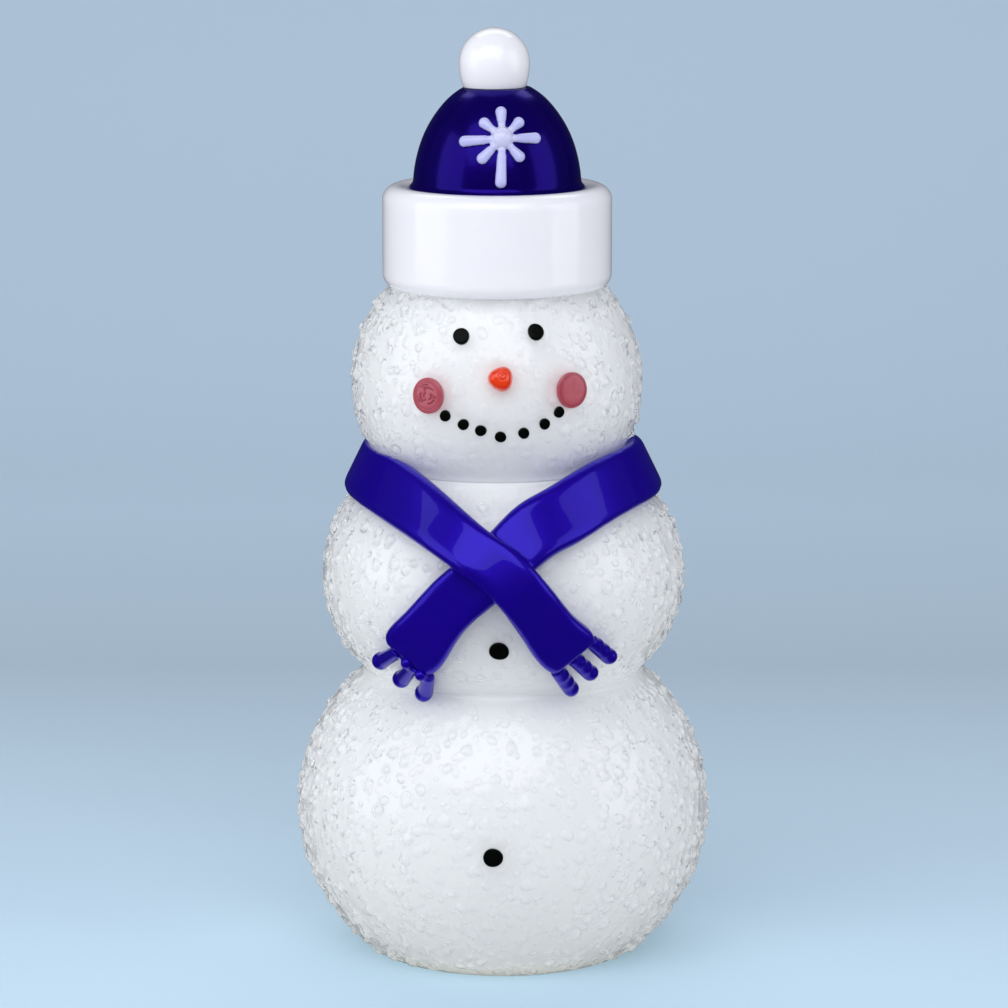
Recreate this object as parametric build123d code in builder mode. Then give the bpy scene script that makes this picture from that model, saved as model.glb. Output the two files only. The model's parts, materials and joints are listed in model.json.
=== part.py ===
"""Hot-glass snowman, about 273 mm tall.

Three blown balls are stacked and fused while hot. Each is a white opal bubble under a clear casing.
A white cuff, a cobalt cap and a white bobble make the hat. A flattened cobalt strip, wound once round
the neck, makes the scarf, with knobbed strands at its ends for a fringe. The face and the buttons are
slices of cane pressed into the casings. Everything is fused, so nothing moves.

Frame: millimetres, +Z up, the origin at the centre of the ground base. The front faces -Y. Left and
right are those of someone who looks at the front, so left is -X.
"""

import os
from math import asin, atan2, cos, degrees, radians, sin, sqrt

from build123d import *

# ---- driving dimensions -------------------------------------------------------------------------
seam = 0.1  # kept between fused pieces, so that each stays a solid of its own

# Each ball is an ellipsoid: its radius at the equator, and half its height.
bottom_radius = 60.3
bottom_half_height = 55.7
middle_radius = 52.7
middle_half_height = 43.4
head_radius = 42.0
head_half_height = 42.2
base_radius = 38.1  # the ground flat that the figure stands on
lower_neck_radius = 40.0  # where the bottom and middle balls meet
upper_neck_radius = 34.5  # where the middle ball and the head meet
neck_fillet = 3.5
head_shift = -1.7  # the head and the hat are this far to the left of the body's axis
casing_wall = 4.0
opal_wall = 4.5

cap_radius = 24.6
cap_dome_height = 32.5  # half the height of the ellipsoid that the dome is cut from
cap_seat_radius = 9.6  # the flat on top, where the bobble is stuck on
cap_lip = 0.9  # rounding of that flat's edge
cuff_wall = 8.8
cuff_height = 30.0
cuff_round = 4.3
cuff_bite = 2.0  # the head's wall meets the cuff's lower edge this far in from its outside
dome_rise = 1.5  # the dome springs from this far below the cuff's top
bobble_radius = 10.3
bobble_rise = 6.8  # from its seat to its middle
bobble_seat_radius = 9.2
bobble_shift = -0.8  # from the hat's axis

flake_height = 17.2  # the snowflake's middle, above the foot of the dome
flake_shift = 1.5  # and to the right of the hat's axis
flake_bead_radius = 3.3
flake_bead_proud = 1.5
flake_bead_round = 1.35
flake_bead_depth = 1.0  # how far its flat back would reach into the cap, before it is cut to the dome
ray_radius = 1.35
ray_end_radius = 1.7
ray_lift = 0.4  # of a ray's axis above the dome
ray_start = 4.9  # from the snowflake's middle to the centre of each ray's rounded inner end
# Each ray's direction in degrees, anticlockwise from the right, and its reach to the tip
flake_rays = [
    (93, 8.7), (41, 7.9), (-2, 11.1), (-47, 8.8),
    (-92, 14.1), (-135, 9.7), (-174, 12.5), (142, 8.2),
]

# A place on a ball is an azimuth in degrees, from the front towards the right, and a height above the
# ball's centre as a share of its half height.
eye_radius = 2.35
eye_places = {"eye_left": (-15.7, 0.441), "eye_right": (17.3, 0.467)}
mouth_bead_radius = 1.55
mouth_places = [
    (-20.7, -0.092), (-13.4, -0.147), (-6.5, -0.187), (1.4, -0.230),
    (10.7, -0.206), (19.1, -0.147), (25.0, -0.071),
]
button_radius = 2.75
upper_button_place = (-1.3, -0.306)
lower_button_place = (-2.7, -0.027)
cane_length = 2.6  # of a slice of black cane
cane_proud = 0.9  # how much of it stands above the casing
cane_round = 0.75

cheek_radius = 5.15
cheek_length = 2.2
cheek_proud = 0.8
cheek_round = 0.7
cheek_places = {"cheek_left": (-27.9, 0.038), "cheek_right": (30.6, 0.073)}
nose_place = (1.6, 0.180)
nose_radius = 3.4
nose_length = 6.6
nose_proud = 4.6
nose_taper = 9.0  # degrees
nose_round = 2.1

scarf_width = 16.0
scarf_thickness = 5.5
scarf_round = 2.3
scarf_loop_radius = 44.8  # of the loop's outside, where it passes round the neck
scarf_lean = 26.0  # the most that the strip's face looks upwards, in degrees
scarf_sink = 1.0  # how far its flat back would reach into the ball, before it is cut to the curve
crossing_gap = 0.3  # between the two layers where the strip crosses itself
# The strip from its left end, under the crossing, over the right shoulder, behind the neck, over the
# left shoulder, across the crossing and down to its right end. Each station is an azimuth, a height
# above the middle ball's centre as a share of the upper neck's height, a lift, which is 1 where the
# strip lies on its own other end, and a width as a share of the scarf's.
scarf_route = [
    (-31.4, -0.48, 0.0, 1.06), (-29.3, -0.42, 0.0, 1.16), (-23.8, -0.255, 0.0, 1.10),
    (-14.2, 0.07, 0.0, 1.02), (-1.8, 0.37, 0.0, 1.04), (10.5, 0.64, 0.0, 1.12),
    (27.4, 0.80, 0.0, 1.14), (53.0, 0.93, 0.0, 1.12), (90.0, 0.95, 0.0, 1.08),
    (135.0, 0.96, 0.0, 1.04), (180.0, 0.97, 0.0, 1.04), (225.0, 0.96, 0.0, 1.04),
    (270.0, 0.95, 0.0, 1.08), (306.0, 0.91, 0.05, 1.12), (328.0, 0.80, 0.25, 1.06),
    (342.0, 0.665, 0.65, 0.98), (351.1, 0.53, 0.98, 0.93), (358.2, 0.39, 1.0, 0.93),
    (364.2, 0.20, 0.95, 0.94), (369.5, -0.02, 0.5, 0.96), (375.0, -0.24, 0.1, 1.02),
    (380.4, -0.39, 0.0, 1.08), (382.6, -0.45, 0.0, 1.00),
]

strand_radius = 2.0
knob_radius = 2.4
knob_sink = 0.4  # how far a knob has settled into the ball's surface
# Each strand of the fringe, from the scarf's end to its knob: azimuth, and height above the middle
# ball's centre as a share of the ball's half height
left_strands = [
    ((-38.3, -0.355), (-45.3, -0.43)), ((-33.3, -0.455), (-39.6, -0.545)), ((-28.0, -0.535), (-33.0, -0.65)),
]
right_strands = [
    ((18.4, -0.43), (26.3, -0.585)), ((22.6, -0.34), (31.4, -0.475)), ((27.1, -0.225), (36.8, -0.37)),
]

# ---- sizes that follow --------------------------------------------------------------------------


def height_at(radius, half_height, at_radius):
    """How far above its centre an ellipsoid has narrowed to a radius."""
    return half_height * sqrt(1 - (at_radius / radius) ** 2)


def radius_at(radius, half_height, at_height):
    """An ellipsoid's radius at a height above its centre."""
    return radius * sqrt(1 - (at_height / half_height) ** 2)


bottom_centre = height_at(bottom_radius, bottom_half_height, base_radius)
lower_neck = bottom_centre + height_at(bottom_radius, bottom_half_height, lower_neck_radius)
middle_centre = lower_neck + height_at(middle_radius, middle_half_height, lower_neck_radius)
neck_above_middle = height_at(middle_radius, middle_half_height, upper_neck_radius)
upper_neck = middle_centre + neck_above_middle
head_centre = upper_neck + height_at(head_radius, head_half_height, upper_neck_radius)

cuff_inner_radius = cap_radius + seam
cuff_outer_radius = cuff_inner_radius + cuff_wall
cuff_bottom = head_centre + height_at(head_radius, head_half_height, cuff_outer_radius - cuff_bite)
cuff_top = cuff_bottom + cuff_height
dome_foot = cuff_top - dome_rise
cap_top = dome_foot + height_at(cap_radius, cap_dome_height, cap_seat_radius)
bobble_centre = cap_top + seam + bobble_rise

balls = {
    "bottom": (bottom_radius, bottom_half_height, bottom_centre, 0.0),
    "middle": (middle_radius, middle_half_height, middle_centre, 0.0),
    "head": (head_radius, head_half_height, head_centre, head_shift),
}
SPAN = 2 * (bobble_centre + bobble_radius)  # of blocks that are larger than the figure


def stack_of_balls(inset=0.0, floor=0.0):
    """The three balls on one axis as one round solid, smaller all round by inset, cut off at a floor."""
    with BuildPart() as stack:
        with BuildSketch(Plane.XZ) as outline:
            for radius, half_height, centre, _ in balls.values():
                with Locations((0, centre)):
                    Ellipse(radius - inset, half_height - inset)
            with Locations((SPAN / 2, floor + SPAN / 2)):
                Rectangle(SPAN, SPAN, mode=Mode.INTERSECT)
            for neck in (lower_neck, upper_neck):
                outer = outline.vertices().filter_by(lambda v: v.X > 0)
                fillet(outer.sort_by(lambda v: abs(v.Y - neck))[0], neck_fillet)
        revolve(axis=Axis.Z)
    return stack.part


def between(solid, low, high, shift=0.0):
    """The slice of a solid between two heights, moved sideways."""
    with BuildPart() as piece:
        add(solid)
        split(bisect_by=Plane.XY.offset(low), keep=Keep.TOP)
        split(bisect_by=Plane.XY.offset(high), keep=Keep.BOTTOM)
    return piece.part.moved(Location((shift, 0, 0)))


def on_ball(ball, place, stand_off=0.0):
    """The point at a place on a ball, or off it by stand_off, and the direction straight out."""
    radius, half_height, centre, shift = balls[ball]
    azimuth = radians(place[0])
    height = place[1] * half_height
    out = radius_at(radius, half_height, height)
    rise = height * (radius / half_height) ** 2
    direction = Vector(out * sin(azimuth), -out * cos(azimuth), rise).normalized()
    point = Vector(shift + out * sin(azimuth), -out * cos(azimuth), centre + height)
    return point + direction * stand_off, direction


def save(part, name):
    """Names a finished piece and writes its STEP file."""
    part.label = name
    export_step(part, f"parts/{name}.step")


os.makedirs("parts", exist_ok=True)

outside = stack_of_balls()
casing_inside = stack_of_balls(casing_wall, casing_wall)
opal_outside = stack_of_balls(casing_wall + seam, casing_wall + seam)
opal_inside = stack_of_balls(casing_wall + opal_wall, casing_wall + opal_wall)
grown = stack_of_balls(-seam, -seam)  # what sits on the glass is cut back to this

# Where each ball starts and ends: the balls meet at the necks, seam apart
spans = {
    "bottom": (-2 * seam, lower_neck - seam / 2),
    "middle": (lower_neck + seam / 2, upper_neck - seam / 2),
    "head": (upper_neck + seam / 2, head_centre + head_half_height + 2 * seam),
}
with BuildPart() as glass_beneath:
    add(between(grown, -2 * seam, upper_neck))
with BuildPart() as head_beneath:
    add(between(grown, upper_neck, spans["head"][1], head_shift))


# ---- slices of cane and the nose, with the pockets that they sit in ------------------------------


def slice_of_cane(ball, place, radius, length, proud, edge):
    """A round slice pressed into a ball, its outer edge melted round, and its pocket."""
    point, direction = on_ball(ball, place)
    with BuildPart() as slice_:
        with BuildSketch(Plane(point - direction * (length - proud), z_dir=direction)):
            Circle(radius)
        extrude(amount=length)
        fillet(slice_.edges().sort_by(lambda e: (e.center() - point).dot(direction))[-1], edge)
    with BuildPart() as pocket:
        with BuildSketch(Plane(point - direction * (length - proud + seam), z_dir=direction)):
            Circle(radius + seam)
        extrude(amount=length + seam)
    return slice_.part, pocket.part


cane = (cane_length, cane_proud, cane_round)
pressed = {"head": {}, "middle": {}, "bottom": {}}
for name, place in eye_places.items():
    pressed["head"][name] = slice_of_cane("head", place, eye_radius, *cane)
for number, place in enumerate(mouth_places, 1):
    pressed["head"][f"mouth_bead_{number}"] = slice_of_cane("head", place, mouth_bead_radius, *cane)
for name, place in cheek_places.items():
    pressed["head"][name] = slice_of_cane("head", place, cheek_radius, cheek_length, cheek_proud, cheek_round)
pressed["middle"]["button_upper"] = slice_of_cane("middle", upper_button_place, button_radius, *cane)
pressed["bottom"]["button_lower"] = slice_of_cane("bottom", lower_button_place, button_radius, *cane)

nose_point, nose_direction = on_ball("head", nose_place)
nose_back = nose_point - nose_direction * (nose_length - nose_proud)
with BuildPart() as nose:
    with BuildSketch(Plane(nose_back, z_dir=nose_direction)):
        Circle(nose_radius)
    extrude(amount=nose_length, taper=nose_taper)
    fillet(nose.edges().sort_by(lambda e: (e.center() - nose_back).dot(nose_direction))[-1], nose_round)
with BuildPart() as nose_pocket:
    with BuildSketch(Plane(nose_back - nose_direction * seam, z_dir=nose_direction)):
        Circle(nose_radius + seam)
    extrude(amount=nose_length)
pressed["head"]["nose"] = (nose.part, nose_pocket.part)

# ---- the three balls ----------------------------------------------------------------------------
for ball, (low, high) in spans.items():
    shift = balls[ball][3]
    with BuildPart() as casing:
        add(between(outside, low, high, shift))
        add(between(casing_inside, low, high + seam, shift), mode=Mode.SUBTRACT)
        for name, (_, pocket) in pressed[ball].items():
            add(pocket, mode=Mode.SUBTRACT)
    save(casing.part, f"{ball}_ball_casing" if ball != "head" else "head_casing")
    # The opal bubble is closed where it meets the next one, with air inside
    with BuildPart() as bubble:
        add(between(opal_outside, low, high, shift))
        add(between(opal_inside, low + opal_wall, high - opal_wall, shift), mode=Mode.SUBTRACT)
    save(bubble.part, f"{ball}_ball_bubble" if ball != "head" else "head_bubble")
    for name, (slice_, _) in pressed[ball].items():
        save(slice_, name)

# ---- hat ----------------------------------------------------------------------------------------
hat_axis = Axis((head_shift, 0, 0), (0, 0, 1))


def crown(grow=0.0):
    """The head's own outline, to cut from the section of what sits on it."""
    with Locations((head_shift, head_centre)):
        Ellipse(head_radius + grow, head_half_height + grow, mode=Mode.SUBTRACT)


with BuildPart() as hat_cuff:
    with BuildSketch(Plane.XZ) as ring:
        with Locations((head_shift + cuff_inner_radius, cuff_bottom)):
            Rectangle(cuff_wall, cuff_height, align=Align.MIN)
        inner_foot = ring.vertices().sort_by(Axis.X)[:2].sort_by(Axis.Y)[0]
        fillet([v for v in ring.vertices() if v != inner_foot], cuff_round)
        crown(seam)
    revolve(axis=hat_axis)
save(hat_cuff.part, "hat_cuff")


def cap_section(grow=0.0):
    """Half of the cap's section, from the head's crown up to the flat under the bobble."""
    radius, rise, top = cap_radius + grow, cap_dome_height + grow, cap_top + grow
    last = asin((top - dome_foot) / rise)
    with BuildSketch(Plane.XZ) as section:
        with BuildLine():
            turns = [last * step / 4 for step in range(5)]
            arc = [(head_shift + radius * cos(turn), dome_foot + rise * sin(turn)) for turn in turns]
            dome = Spline(arc, tangents=[(0, 1), (-radius * sin(last), rise * cos(last))])
            axis = head_shift
            Polyline(dome @ 1, (axis, top), (axis, head_centre), (axis + radius, head_centre), dome @ 0)
        make_face()
        crown(seam)
        fillet(section.vertices().group_by(Axis.Y)[-1].sort_by(Axis.X)[-1], cap_lip)
    return section.sketch


with BuildPart() as hat_cap:
    add(cap_section())
    revolve(axis=hat_axis)
save(hat_cap.part, "hat_cap")

bobble_x = head_shift + bobble_shift
with BuildPart() as hat_bobble:
    with BuildSketch(Plane.XZ):
        with BuildLine():
            top = CenterArc((bobble_x, bobble_centre), bobble_radius, 0, 90)
            foot = (bobble_x + bobble_seat_radius, cap_top + seam)
            TangentArc(top @ 0, foot, tangent=(0, -1))
            Polyline(foot, (bobble_x, cap_top + seam), top @ 1)
        make_face()
    revolve(axis=Axis((bobble_x, 0, 0), (0, 0, 1)))
save(hat_bobble.part, "hat_bobble")

# ---- snowflake on the cap -----------------------------------------------------------------------
with BuildPart() as cap_beneath:
    add(cap_section(seam))
    revolve(axis=hat_axis)


def on_dome(across, up, lift=0.0):
    """The point on the front of the cap's dome, from the snowflake's middle as seen from the front."""
    x = flake_shift + across
    z = flake_height + up
    out = radius_at(cap_radius + lift, cap_dome_height + lift, z)
    return Vector(head_shift + x, -sqrt(out**2 - x**2), dome_foot + z)


def trail(near, far, near_radius, far_radius):
    """A straight trail of glass with rounded ends, drawn between the centres of the two."""
    way = (far - near).normalized()
    side = way.cross(Vector(0, -1, 0))
    length = (far - near).length
    with BuildPart() as piece:
        with BuildSketch(Plane(near, x_dir=way, z_dir=side)):
            with BuildLine():
                near_end = CenterArc((0, 0), near_radius, 90, 90)
                far_end = CenterArc((length, 0), far_radius, 0, 90)
                Line(far_end @ 1, near_end @ 0)
                Line(near_end @ 1, far_end @ 0)
            make_face()
        revolve(axis=Axis(near, way))
    return piece.part


flake_middle = on_dome(0, 0)
flake_lift = flake_height * (cap_radius / cap_dome_height) ** 2
flake_out = Vector(flake_shift, flake_middle.Y, flake_lift).normalized()
with BuildPart() as flake_bead:
    with BuildSketch(Plane(flake_middle - flake_out * flake_bead_depth, z_dir=flake_out)):
        Circle(flake_bead_radius)
    extrude(amount=flake_bead_depth + flake_bead_proud)
    rim = flake_bead.edges().sort_by(lambda e: (e.center() - flake_middle).dot(flake_out))[-1]
    fillet(rim, flake_bead_round)
    add(cap_beneath.part, mode=Mode.SUBTRACT)
save(flake_bead.part, "snowflake_bead")

for number, (angle, reach) in enumerate(flake_rays, 1):
    across, up = cos(radians(angle)), sin(radians(angle))
    near = on_dome(ray_start * across, ray_start * up, ray_lift)
    far = on_dome((reach - ray_end_radius) * across, (reach - ray_end_radius) * up, ray_lift)
    with BuildPart() as ray:
        add(trail(near, far, ray_radius, ray_end_radius))
        add(cap_beneath.part, mode=Mode.SUBTRACT)
    save(ray.part, f"snowflake_ray_{number}")

# ---- scarf --------------------------------------------------------------------------------------


def scarf_section(azimuth, share, lift):
    """Middle and thickness of the strip's section at a station, and the lean of its face."""
    height = share * neck_above_middle
    ball = radius_at(middle_radius, middle_half_height, height)
    normal = degrees(atan2(height * (middle_radius / middle_half_height) ** 2, ball))
    lean = radians(min(scarf_lean, normal))
    layer = lift * (scarf_thickness + crossing_gap) / cos(lean)
    back = ball - scarf_sink * (1 - lift) + layer
    front = max(ball + scarf_thickness / cos(lean), scarf_loop_radius) + layer
    radius = (back + front) / 2
    turn = radians(azimuth)
    middle = Vector(radius * sin(turn), -radius * cos(turn), middle_centre + height)
    outward = Vector(cos(lean) * sin(turn), -cos(lean) * cos(turn), sin(lean))
    return middle, (front - back) * cos(lean), outward


stations = [scarf_section(azimuth, share, lift) for azimuth, share, lift, _ in scarf_route]
planes = []
for number, (middle, _, outward) in enumerate(stations):
    before = stations[max(number - 1, 0)][0]
    after = stations[min(number + 1, len(stations) - 1)][0]
    along = (after - before).normalized()
    planes.append(Plane(middle, x_dir=outward - along * outward.dot(along), z_dir=along))

with BuildPart() as scarf:
    for plane, (_, thickness, _), (_, _, _, width) in zip(planes, stations, scarf_route):
        with BuildSketch(plane):
            RectangleRounded(thickness, width * scarf_width, scarf_round)
    loft()
    add(glass_beneath.part, mode=Mode.SUBTRACT)
    add(head_beneath.part, mode=Mode.SUBTRACT)
save(scarf.part, "scarf")

# ---- fringe -------------------------------------------------------------------------------------


def strand(root, tip, end):
    """A strand that starts on the scarf's cut end and lies on the middle ball, with a knob at its tip."""
    start, _ = on_ball("middle", root, scarf_thickness / 2)
    finish, _ = on_ball("middle", tip, knob_radius - knob_sink)
    buried = start - (finish - start).normalized() * scarf_thickness
    with BuildPart() as piece:
        add(trail(buried, finish, strand_radius, knob_radius))
        split(bisect_by=end.offset(seam), keep=Keep.TOP)
        add(glass_beneath.part, mode=Mode.SUBTRACT)
    return piece.part


left_end = Plane(planes[0].origin, z_dir=-planes[0].z_dir)
right_end = planes[-1]
for side, end, strands in (("left", left_end, left_strands), ("right", right_end, right_strands)):
    for number, (root, tip) in enumerate(strands, 1):
        save(strand(root, tip, end), f"fringe_{side}_{number}")

print("height", round(bobble_centre + bobble_radius, 2), "necks", round(lower_neck, 2), round(upper_neck, 2))
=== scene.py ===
# %% [markdown]
# # A snowman in hot glass
#
# This lesson finishes a glass snowman. On the bench the maker blew three white opal bubbles, gathered
# clear glass over each, rolled them in crushed clear glass, and stuck them together hot. A cuff, a cap
# and a bobble made the hat. A flattened strip of cobalt made the scarf, and slices of coloured cane,
# pressed in while the glass was soft, made the face and the buttons.
#
# The solid model already holds every size. So each step here reads its sizes from that model, and
# adds what a solid model leaves out: melted chips, soft edges, depth in the glass, and light.

# %% Load the solid model
import json
import math

import bmesh
import bpy
import numpy as np
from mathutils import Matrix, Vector
from mathutils.bvhtree import BVHTree


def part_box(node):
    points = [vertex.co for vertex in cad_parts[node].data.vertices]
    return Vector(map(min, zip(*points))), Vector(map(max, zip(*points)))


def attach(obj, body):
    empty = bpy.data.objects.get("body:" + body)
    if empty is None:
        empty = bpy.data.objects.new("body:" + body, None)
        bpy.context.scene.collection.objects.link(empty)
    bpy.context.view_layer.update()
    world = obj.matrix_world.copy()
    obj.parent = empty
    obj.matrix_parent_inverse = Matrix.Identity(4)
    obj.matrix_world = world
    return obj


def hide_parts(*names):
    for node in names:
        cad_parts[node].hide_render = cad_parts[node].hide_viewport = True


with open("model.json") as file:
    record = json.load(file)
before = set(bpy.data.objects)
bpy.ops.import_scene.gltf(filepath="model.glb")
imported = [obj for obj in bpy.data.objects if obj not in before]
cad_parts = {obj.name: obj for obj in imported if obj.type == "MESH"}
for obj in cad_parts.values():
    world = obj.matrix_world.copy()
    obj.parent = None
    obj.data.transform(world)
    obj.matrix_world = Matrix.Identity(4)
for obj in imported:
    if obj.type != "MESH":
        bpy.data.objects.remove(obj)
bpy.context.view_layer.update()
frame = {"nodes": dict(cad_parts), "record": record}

MM = 0.001
scene = bpy.context.scene

# %% [markdown]
# ## Camera
#
# A small figure looks its real size when the camera stands well back and looks a little down on it. A
# long lens from 1.3 m keeps the balls from bulging towards the viewer. The aim is about halfway up.

# %% Camera
CAMERA_DISTANCE = 1.3
CAMERA_HEIGHT = 0.3762
AIM_HEIGHT = 0.1332
FOCAL_LENGTH_MM = 160.07
SHIFT_X = 0.001

camera_data = bpy.data.cameras.new("camera")
camera_data.lens = FOCAL_LENGTH_MM
camera_data.shift_x = SHIFT_X
camera = bpy.data.objects.new("camera", camera_data)
scene.collection.objects.link(camera)
camera.location = (0, -CAMERA_DISTANCE, CAMERA_HEIGHT)
camera.rotation_euler = (Vector((0, 0, AIM_HEIGHT)) - camera.location).to_track_quat("-Z", "Y").to_euler()
scene.camera = camera
print("camera looks down by", round(math.degrees(math.atan2(CAMERA_HEIGHT - AIM_HEIGHT, CAMERA_DISTANCE)), 1))

# %% [markdown]
# ## Helpers
#
# Colours are written as the hex values that a designer would read off a screen, and one function turns
# them to the linear values that a shader needs. One more adds a node with its settings and its links,
# so that each tree below reads as a list of steps.

# %% Colour and nodes


def colour(hex_value):
    """A screen colour such as "F4F6FA" as the linear values of a shader."""
    parts = [int(hex_value[i : i + 2], 16) / 255 for i in (0, 2, 4)]
    return (*[p / 12.92 if p <= 0.04045 else ((p + 0.055) / 1.055) ** 2.4 for p in parts], 1.0)


def add_node(tree, kind, settings=None, values=None, links=None):
    """One new node, with its settings, its sockets' values, and the sockets that feed it."""
    node = tree.nodes.new(kind)
    for name, value in (settings or {}).items():
        setattr(node, name, value)
    for name, value in (values or {}).items():
        node.inputs[name].default_value = value
    for name, source in (links or {}).items():
        tree.links.new(source, node.inputs[name])
    return node


def new_material(name, values):
    """A material with one Principled shader on its output, and that shader's plain values."""
    material = bpy.data.materials.new(name)
    material.use_nodes = True
    material.node_tree.nodes.clear()
    shader = add_node(material.node_tree, "ShaderNodeBsdfPrincipled", values=values)
    links = {"Surface": shader.outputs["BSDF"]}
    add_node(material.node_tree, "ShaderNodeOutputMaterial", links=links)
    return material, material.node_tree, shader


def object_place(tree):
    """The socket that gives a point's own place, in metres."""
    return add_node(tree, "ShaderNodeTexCoord").outputs["Object"]


# %% [markdown]
# ## Studio
#
# White glass needs soft, even light from all round, or one side goes grey. Blue glass needs the
# opposite, since it shows whatever is round it as in a dark mirror. So the lamps are a few wide
# softboxes, the largest in front and above, and all else that a shiny surface could reflect is kept dim.
# The floor and the backdrop are one pale blue sweep, so that the white edges still read against it.
# That blue would tint the figure, so light that has met the figure finds painted light and shade there
# instead: light neutral greys for light it bent or scattered, and a dark grey in its reflections.

# %% Floor and backdrop
FLOOR_BLUE = "CFE8F6"
SHADED_BLUE = "B4C8D4"
MIDDLE_BLUE = "C2D8E6"
WALL_BLUE = "CBE1F0"
BLUE_SETTLES = 1.25  # metres behind the figure's axis, from where the blue stays the same
# painted light and shade: light the figure bent or scattered finds light neutral grey here, and its
# reflections find dark grey
PAINTED_BOUNCE_SHADES = {  # the shade that stands in for the blue, for light the figure bent, scattered or mirrored
    "Is Transmission Ray": "ECE9E4",
    "Is Diffuse Ray": "F4F5F4",
    "Is Glossy Ray": "30343C",
}


def sweep(name, width, front, back, height, bend):
    """A floor that curves up into a wall behind, as one sheet."""
    steps = 24
    turns = [math.pi / 2 * step / steps for step in range(steps + 1)]
    outline = [(front, 0.0)] + [(back - bend + bend * math.sin(t), bend - bend * math.cos(t)) for t in turns]
    outline.append((back, height))
    corners = [(side * width / 2, y, z) for y, z in outline for side in (-1, 1)]
    faces = [(2 * i, 2 * i + 1, 2 * i + 3, 2 * i + 2) for i in range(len(outline) - 1)]
    mesh = bpy.data.meshes.new(name)
    mesh.from_pydata(corners, [], faces)
    mesh.polygons.foreach_set("use_smooth", [True] * len(faces))
    piece = bpy.data.objects.new(name, mesh)
    scene.collection.objects.link(piece)
    return piece


backdrop = sweep("backdrop", width=6.0, front=-2.5, back=1.6, height=3.0, bend=0.8)
paper, tree, shader = new_material("matt_paper_sweep", {"Roughness": 0.9, "Specular IOR Level": 0.1})
where = add_node(tree, "ShaderNodeSeparateXYZ", links={"Vector": object_place(tree)})
blend = add_node(
    tree,
    "ShaderNodeMapRange",
    values={"From Min": 0.0, "From Max": BLUE_SETTLES},
    links={"Value": where.outputs["Y"]},
)
shades = add_node(tree, "ShaderNodeValToRGB", links={"Fac": blend.outputs["Result"]})
shades.color_ramp.elements[0].color = colour(FLOOR_BLUE)
shades.color_ramp.elements[1].color = colour(WALL_BLUE)
shades.color_ramp.elements.new(0.3).color = colour(SHADED_BLUE)
shades.color_ramp.elements.new(0.55).color = colour(MIDDLE_BLUE)
path = add_node(tree, "ShaderNodeLightPath")
layer = shades.outputs["Color"]
for ray, shade in PAINTED_BOUNCE_SHADES.items():
    swapped = add_node(
        tree,
        "ShaderNodeMix",
        {"data_type": "RGBA"},
        {"B": colour(shade)},
        {"Factor": path.outputs[ray], "A": layer},
    )
    layer = swapped.outputs["Result"]
tree.links.new(layer, shader.inputs["Base Color"])
backdrop.data.materials.append(paper)

# %% Lights
LAMP_WHITE = "FAFBFF"
LAMPS = (  # name, place, aim, width and height in metres, and watts
    ("softbox_front", (-0.15, -0.85, 1.0), (0, 0, 0.15), (1.5, 0.9), 8.0),
    ("softbox_left", (-1.2, -0.45, 0.5), (0, 0, 0.14), (1.0, 1.2), 5.2),
    ("softbox_right", (1.2, -0.4, 0.45), (0, 0, 0.14), (0.8, 1.2), 3.9),
    ("softbox_back", (0.0, 0.8, 1.3), (0, 0, 0.1), (1.4, 0.5), 4.0),
)
AIR_STRENGTH = 0.43
AIR_MIRRORED = 0.10  # what a shiny surface finds of it


def softbox(name, place, aim, size, watts):
    """A rectangular lamp at a place, turned to face an aim."""
    lamp = bpy.data.lights.new(name, "AREA")
    lamp.shape = "RECTANGLE"
    lamp.size, lamp.size_y = size
    lamp.energy = watts
    lamp.color = colour(LAMP_WHITE)[:3]
    thing = bpy.data.objects.new(name, lamp)
    scene.collection.objects.link(thing)
    thing.location = place
    thing.rotation_euler = (Vector(aim) - Vector(place)).to_track_quat("-Z", "Y").to_euler()


for lamp in LAMPS:
    softbox(*lamp)

world = bpy.data.worlds.new("studio_air")
scene.world = world
world.use_nodes = True
air = world.node_tree.nodes["Background"]
air.inputs["Color"].default_value = colour("E3E7F7")
path = add_node(world.node_tree, "ShaderNodeLightPath")
dimmed = add_node(
    world.node_tree,
    "ShaderNodeMath",
    {"operation": "MULTIPLY_ADD"},
    {1: AIR_MIRRORED - AIR_STRENGTH, 2: AIR_STRENGTH},
    {0: path.outputs["Is Glossy Ray"]},
)
world.node_tree.links.new(dimmed.outputs[0], air.inputs["Strength"])
scene.view_settings.view_transform = "Standard"

# %% [markdown]
# ## Crushed glass, as a pattern
#
# The maker rolled each hot ball over crushed clear glass, about 2 to 3 mm in the grain, and reheated it
# until the chips sank in and rounded. A chip is a low round lump with a steep foot, and a little air is
# caught under its edge; a thin grey crescent of painted shade marks it. The same pattern is used twice:
# Geometry Nodes lift the skin by it, and the glass's material draws what is finer than the mesh.

# %% One grain, and all of them
UNEVEN_PLACES = 0.9  # 0 would lay the chips on an even grid, 1 strews them freely
STEEP_FOOT = 0.55  # under 1, so that a chip is flat on top and steep at its foot
LINE_RISES = (0.80, 0.94)  # the line at a foot rises and falls between these shares of the chip's reach
LINE_FALLS = (1.0, 1.16)
WANDER_SIZE = 5 * MM  # the pattern is bent over patches of this size,
WANDER = 3 * MM  # by up to half of this each way
SWELL_SIZE = 9 * MM  # the hand-blown skin's own waves,
SWELL = 0.6 * MM  # and their height


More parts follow.
